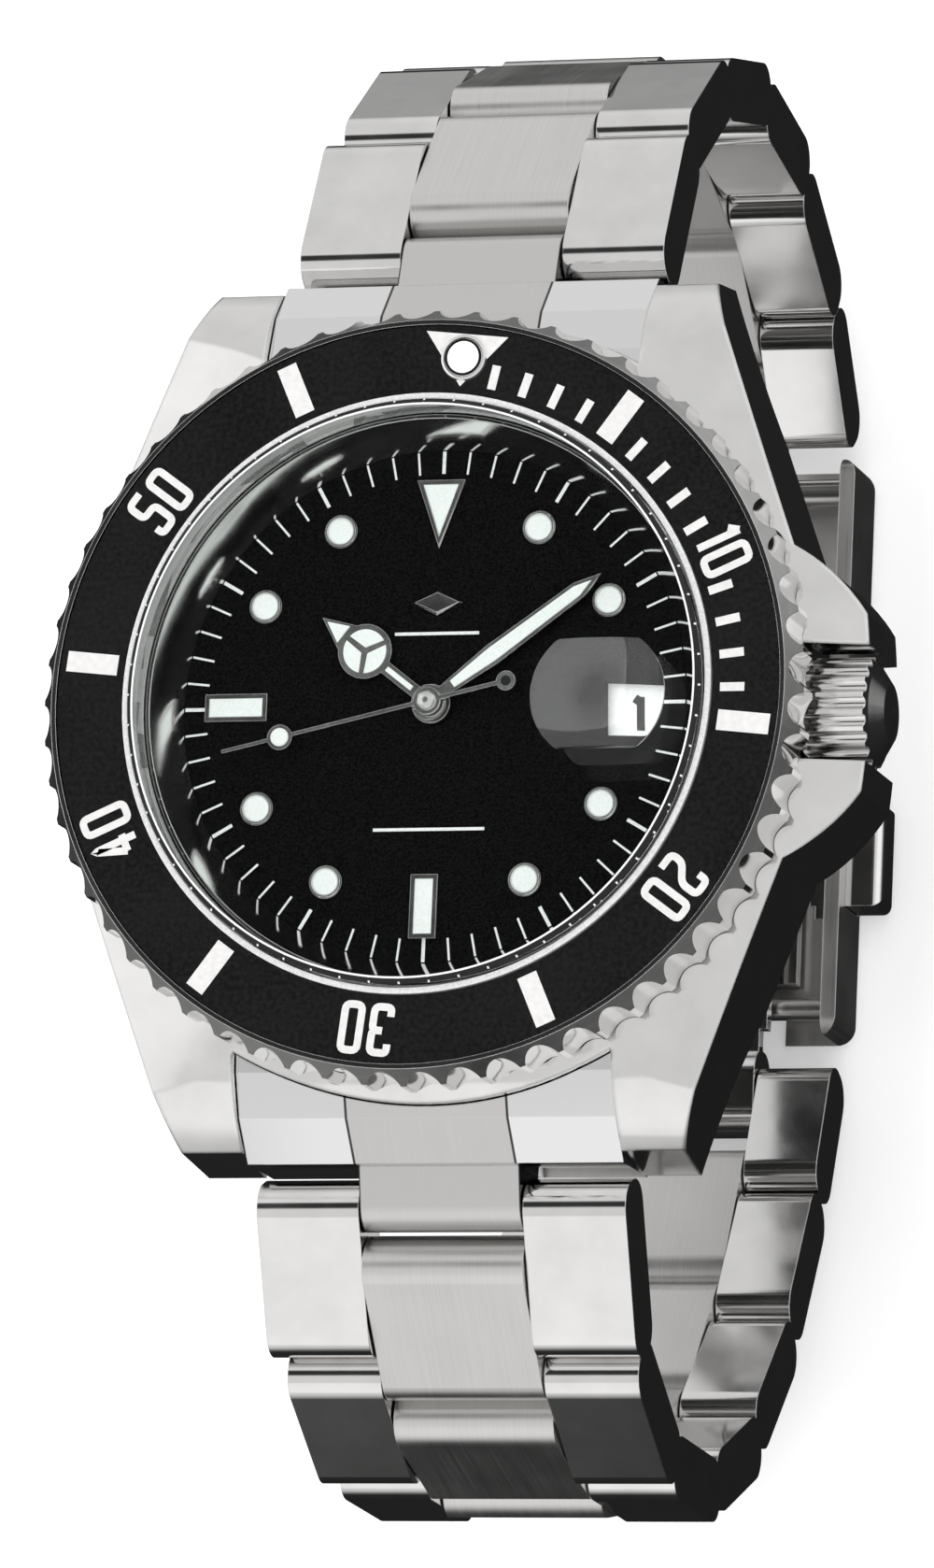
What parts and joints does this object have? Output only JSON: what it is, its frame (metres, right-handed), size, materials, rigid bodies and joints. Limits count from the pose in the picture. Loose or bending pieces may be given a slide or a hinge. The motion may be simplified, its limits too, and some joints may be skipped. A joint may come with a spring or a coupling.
{
  "type": "wristwatch",
  "caption": "Automatic diver's wristwatch with a turning bezel, a date under a magnifier, a three-row steel bracelet and a folding clasp, standing closed on the clasp.",
  "frame": {"origin": "on the flat outer face of the clasp cover, under the axis of the hands", "axes": "+Z out of the dial, +Y towards 12 o'clock, +X towards 3 o'clock and the crown"},
  "size_m": [0.0427, 0.0773, 0.0578],
  "materials": {
    "polished_steel": "polished stainless steel with fine scratches",
    "brushed_steel": "stainless steel brushed along the bracelet",
    "pin_steel": "turned stainless steel",
    "crystal_glass": "clear polished mineral glass",
    "gasket_white": "translucent white nylon",
    "dial_black": "fine matt black lacquer with white printing",
    "marker_steel": "polished steel cups filled with pale luminous paint",
    "hand_steel": "polished steel filled with pale luminous paint",
    "insert_black": "gloss black anodised ring with white numerals",
    "date_white": "matt white with black numerals",
    "movement_nickel": "nickel plated, striped",
    "movement_brass": "gilt brass"
  },
  "bodies": {
    "head": {"case_middle": "polished_steel", "caseback": "brushed_steel", "caseback_glass": "crystal_glass", "crystal": "crystal_glass", "crystal_gasket": "gasket_white", "date_magnifier": "crystal_glass", "dial": "dial_black", "end_link_12": "polished_steel", "end_link_6": "polished_steel", "hour_markers": "marker_steel", "main_plate": "movement_nickel", "rehaut_ring": "polished_steel", "spring_bars": "pin_steel", "train_bridge": "movement_nickel"},
    "bezel": {"bezel_ring": "polished_steel", "bezel_insert": "insert_black"},
    "minute_hand": {"minute_hand": "hand_steel"},
    "hour_hand": {"hour_hand": "hand_steel"},
    "seconds_hand": {"seconds_hand": "hand_steel"},
    "date_disc": {"date_disc": "date_white"},
    "barrel": {"mainspring_barrel": "movement_brass"},
    "rotor": {"rotor": "movement_nickel"},
    "balance": {"balance_wheel": "movement_brass"},
    "stem": {"winding_stem": "pin_steel"},
    "crown": {"crown": "polished_steel"},
    "link_12_1_sides": {"link_12_1_sides": "polished_steel"},
    "link_12_1_centre": {"link_12_1_centre": "brushed_steel"},
    "link_12_2_sides": {"link_12_2_sides": "polished_steel"},
    "link_12_2_centre": {"link_12_2_centre": "brushed_steel"},
    "link_12_3_sides": {"link_12_3_sides": "polished_steel"},
    "link_12_3_centre": {"link_12_3_centre": "brushed_steel"},
    "link_12_4_sides": {"link_12_4_sides": "polished_steel"},
    "link_12_4_centre": {"link_12_4_centre": "brushed_steel"},
    "link_12_5_sides": {"link_12_5_sides": "polished_steel"},
    "link_12_5_centre": {"link_12_5_centre": "brushed_steel"},
    "link_12_6_sides": {"link_12_6_sides": "polished_steel"},
    "link_12_6_centre": {"link_12_6_centre": "brushed_steel"},
    "link_6_1_sides": {"link_6_1_sides": "polished_steel"},
    "link_6_1_centre": {"link_6_1_centre": "brushed_steel"},
    "link_6_2_sides": {"link_6_2_sides": "polished_steel"},
    "link_6_2_centre": {"link_6_2_centre": "brushed_steel"},
    "link_6_3_sides": {"link_6_3_sides": "polished_steel"},
    "link_6_3_centre": {"link_6_3_centre": "brushed_steel"},
    "link_6_4_sides": {"link_6_4_sides": "polished_steel"},
    "link_6_4_centre": {"link_6_4_centre": "brushed_steel"},
    "link_6_5_sides": {"link_6_5_sides": "polished_steel"},
    "link_6_5_centre": {"link_6_5_centre": "brushed_steel"},
    "link_6_6_sides": {"link_6_6_sides": "polished_steel"},
    "link_6_6_centre": {"link_6_6_centre": "brushed_steel"},
    "link_6_7_sides": {"link_6_7_sides": "polished_steel"},
    "clasp_cover": {"clasp_cover": "brushed_steel", "clasp_pins": "pin_steel"},
    "middle_blade": {"clasp_middle_blade": "polished_steel"},
    "inner_blade": {"clasp_inner_blade": "polished_steel"},
    "button_right": {"clasp_button_right": "polished_steel"},
    "button_left": {"clasp_button_left": "polished_steel"}
  },
  "joints": [
    {"name": "bezel_turn", "type": "hinge", "parent": "head", "child": "bezel", "pos_m": [0, 0, 0.055], "axis": [0, 0, 1], "continuous": true},
    {"name": "minute_turn", "type": "hinge", "parent": "head", "child": "minute_hand", "pos_m": [0, 0, 0.0536], "axis": [0, 0, -1], "continuous": true},
    {"name": "hour_turn", "type": "hinge", "parent": "head", "child": "hour_hand", "pos_m": [0, 0, 0.0532], "axis": [0, 0, -1], "continuous": true},
    {"name": "seconds_turn", "type": "hinge", "parent": "head", "child": "seconds_hand", "pos_m": [0, 0, 0.054], "axis": [0, 0, -1], "continuous": true},
    {"name": "date_turn", "type": "hinge", "parent": "head", "child": "date_disc", "pos_m": [0, 0, 0.052], "axis": [0, 0, -1], "continuous": true},
    {"name": "barrel_turn", "type": "hinge", "parent": "head", "child": "barrel", "pos_m": [-0.006, 0.0042, 0.0485], "axis": [0, 0, -1], "continuous": true},
    {"name": "rotor_turn", "type": "hinge", "parent": "head", "child": "rotor", "pos_m": [0, 0.0004, 0.046], "axis": [0, 0, 1], "continuous": true},
    {"name": "balance_swing", "type": "hinge", "parent": "head", "child": "balance", "pos_m": [0.0058, -0.0056, 0.0485], "axis": [0, 0, 1], "range_deg": [-135, 135]},
    {"name": "crown_turn", "type": "hinge", "parent": "head", "child": "stem", "pos_m": [0.0186, 0, 0.049], "axis": [1, 0, 0], "continuous": true},
    {"name": "crown_pull", "type": "slide", "parent": "stem", "child": "crown", "axis": [1, 0, 0], "range_m": [0, 0.0009]},
    {"name": "hinge_12_1_sides", "type": "hinge", "parent": "head", "child": "link_12_1_sides", "pos_m": [0, 0.0243, 0.0463], "axis": [1, 0, 0], "range_deg": [0, 10]},
    {"name": "hinge_12_1_centre", "type": "hinge", "parent": "link_12_1_sides", "child": "link_12_1_centre", "pos_m": [0, 0.0284, 0.04421], "axis": [1, 0, 0], "range_deg": [0, 13.28]},
    {"name": "hinge_12_2_sides", "type": "hinge", "parent": "link_12_1_centre", "child": "link_12_2_sides", "pos_m": [0, 0.03191, 0.04124], "axis": [1, 0, 0], "range_deg": [0, 12.87]},
    {"name": "hinge_12_2_centre", "type": "hinge", "parent": "link_12_2_sides", "child": "link_12_2_centre", "pos_m": [0, 0.03467, 0.03756], "axis": [1, 0, 0], "range_deg": [0, 12.46]},
    {"name": "hinge_12_3_sides", "type": "hinge", "parent": "link_12_2_centre", "child": "link_12_3_sides", "pos_m": [0, 0.03657, 0.03337], "axis": [1, 0, 0], "range_deg": [0, 12.05]},
    {"name": "hinge_12_3_centre", "type": "hinge", "parent": "link_12_3_sides", "child": "link_12_3_centre", "pos_m": [0, 0.03755, 0.02887], "axis": [1, 0, 0], "range_deg": [0, 11.64]},
    {"name": "hinge_12_4_sides", "type": "hinge", "parent": "link_12_3_centre", "child": "link_12_4_sides", "pos_m": [0, 0.03761, 0.02427], "axis": [1, 0, 0], "range_deg": [0, 11.24]},
    {"name": "hinge_12_4_centre", "type": "hinge", "parent": "link_12_4_sides", "child": "link_12_4_centre", "pos_m": [0, 0.03677, 0.01975], "axis": [1, 0, 0], "range_deg": [0, 10.83]},
    {"name": "hinge_12_5_sides", "type": "hinge", "parent": "link_12_4_centre", "child": "link_12_5_sides", "pos_m": [0, 0.03509, 0.01547], "axis": [1, 0, 0], "range_deg": [0, 10.42]},
    {"name": "hinge_12_5_centre", "type": "hinge", "parent": "link_12_5_sides", "child": "link_12_5_centre", "pos_m": [0, 0.03267, 0.01156], "axis": [1, 0, 0], "range_deg": [0, 10.01]},
    {"name": "hinge_12_6_sides", "type": "hinge", "parent": "link_12_5_centre", "child": "link_12_6_sides", "pos_m": [0, 0.0296, 0.00813], "axis": [1, 0, 0], "range_deg": [0, 9.6]},
    {"name": "hinge_12_6_centre", "type": "hinge", "parent": "link_12_6_sides", "child": "link_12_6_centre", "pos_m": [0, 0.02601, 0.00526], "axis": [1, 0, 0], "range_deg": [0, 9.2]},
    {"name": "hinge_6_1_sides", "type": "hinge", "parent": "head", "child": "link_6_1_sides", "pos_m": [0, -0.0243, 0.0463], "axis": [-1, 0, 0], "range_deg": [0, 10]},
    {"name": "hinge_6_1_centre", "type": "hinge", "parent": "link_6_1_sides", "child": "link_6_1_centre", "pos_m": [0, -0.0285, 0.04443], "axis": [-1, 0, 0], "range_deg": [0, 17.92]},
    {"name": "hinge_6_2_sides", "type": "hinge", "parent": "link_6_1_centre", "child": "link_6_2_sides", "pos_m": [0, -0.03193, 0.04136], "axis": [-1, 0, 0], "range_deg": [0, 16.68]},
    {"name": "hinge_6_2_centre", "type": "hinge", "parent": "link_6_2_sides", "child": "link_6_2_centre", "pos_m": [0, -0.03432, 0.03743], "axis": [-1, 0, 0], "range_deg": [0, 15.44]},
    {"name": "hinge_6_3_sides", "type": "hinge", "parent": "link_6_2_centre", "child": "link_6_3_sides", "pos_m": [0, -0.03559, 0.03301], "axis": [-1, 0, 0], "range_deg": [0, 14.21]},
    {"name": "hinge_6_3_centre", "type": "hinge", "parent": "link_6_3_sides", "child": "link_6_3_centre", "pos_m": [0, -0.03573, 0.02841], "axis": [-1, 0, 0], "range_deg": [0, 12.97]},
    {"name": "hinge_6_4_sides", "type": "hinge", "parent": "link_6_3_centre", "child": "link_6_4_sides", "pos_m": [0, -0.03483, 0.0239], "axis": [-1, 0, 0], "range_deg": [0, 11.73]},
    {"name": "hinge_6_4_centre", "type": "hinge", "parent": "link_6_4_sides", "child": "link_6_4_centre", "pos_m": [0, -0.03304, 0.01966], "axis": [-1, 0, 0], "range_deg": [0, 10.5]},
    {"name": "hinge_6_5_sides", "type": "hinge", "parent": "link_6_4_centre", "child": "link_6_5_sides", "pos_m": [0, -0.0305, 0.01582], "axis": [-1, 0, 0], "range_deg": [0, 9.26]},
    {"name": "hinge_6_5_centre", "type": "hinge", "parent": "link_6_5_sides", "child": "link_6_5_centre", "pos_m": [0, -0.02738, 0.01244], "axis": [-1, 0, 0], "range_deg": [0, 8.02]},
    {"name": "hinge_6_6_sides", "type": "hinge", "parent": "link_6_5_centre", "child": "link_6_6_sides", "pos_m": [0, -0.02382, 0.00953], "axis": [-1, 0, 0], "range_deg": [0, 6.79]},
    {"name": "hinge_6_6_centre", "type": "hinge", "parent": "link_6_6_sides", "child": "link_6_6_centre", "pos_m": [0, -0.01994, 0.00706], "axis": [-1, 0, 0], "range_deg": [0, 5.55]},
    {"name": "hinge_6_7_sides", "type": "hinge", "parent": "link_6_6_centre", "child": "link_6_7_sides", "pos_m": [0, -0.01584, 0.00498], "axis": [-1, 0, 0], "range_deg": [0, 4.31]},
    {"name": "cover_hinge", "type": "hinge", "parent": "link_12_6_centre", "child": "clasp_cover", "pos_m": [0, 0.022, 0.003], "axis": [1, 0, 0], "range_deg": [0, 10]},
    {"name": "middle_blade_fold", "type": "hinge", "parent": "clasp_cover", "child": "middle_blade", "pos_m": [0, -0.0062, 0.0021], "axis": [1, 0, 0], "range_deg": [0, 75]},
    {"name": "inner_blade_fold", "type": "hinge", "parent": "middle_blade", "child": "inner_blade", "pos_m": [0, 0.0166, 0.0025], "axis": [-1, 0, 0], "range_deg": [0, 75]},
    {"name": "button_right_press", "type": "slide", "parent": "clasp_cover", "child": "button_right", "axis": [-1, 0, 0], "range_m": [0, 0.0009], "stiffness_N_per_m": 250, "springref_m": -0.0006},
    {"name": "button_left_press", "type": "slide", "parent": "clasp_cover", "child": "button_left", "axis": [1, 0, 0], "range_m": [0, 0.0009], "stiffness_N_per_m": 250, "springref_m": -0.0006}
  ],
  "couplings": [
    {"joint": "minute_turn", "follows": "seconds_turn", "ratio": 0.016667},
    {"joint": "hour_turn", "follows": "seconds_turn", "ratio": 0.0013889},
    {"joint": "date_turn", "follows": "seconds_turn", "ratio": 0.000022401},
    {"joint": "barrel_turn", "follows": "seconds_turn", "ratio": -0.0022222}
  ]
}
